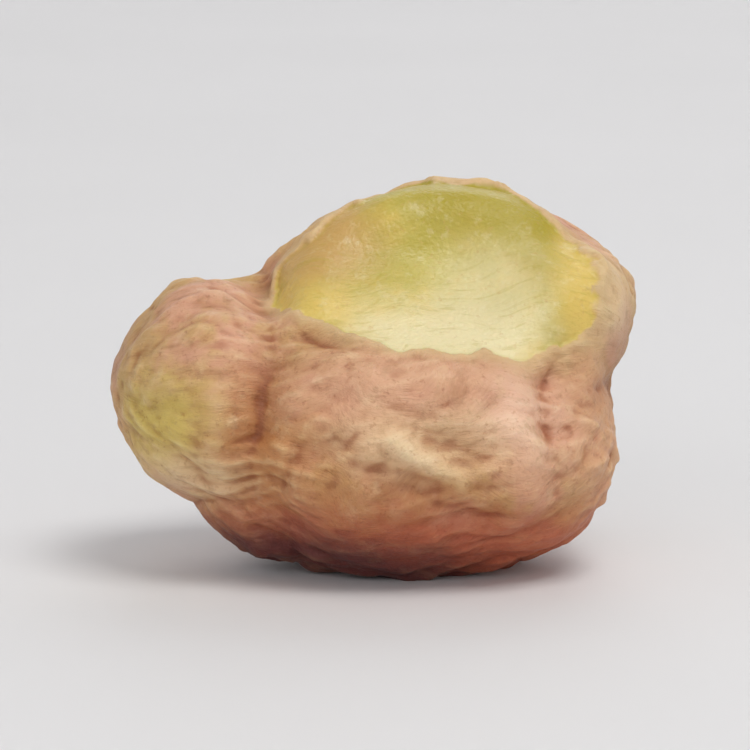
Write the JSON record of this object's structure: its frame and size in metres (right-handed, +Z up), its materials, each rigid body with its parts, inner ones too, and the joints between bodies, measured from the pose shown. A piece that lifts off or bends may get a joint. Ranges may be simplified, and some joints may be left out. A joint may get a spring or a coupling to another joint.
{
  "type": "shelled pistachio kernel",
  "caption": "Shelled nut kernel in its dried, wrinkled seed skin, with a shallow hollow where the green flesh shows, lying on a small flat spot.",
  "frame": {"origin": "middle of the box's underside, on the small flat spot that the kernel lies on", "axes": "+Z up from the resting surface, +X from the narrow tip to the blunt end, -Y towards the flank with the hollow"},
  "size_m": [0.0142, 0.0098, 0.0104],
  "materials": {
    "seed_skin": "dry papery seed skin in tan, pink and red-brown, with waxy yellow-green flesh bare in the hollow"
  },
  "bodies": {
    "root": {"kernel": "seed_skin"}
  },
  "joints": []
}
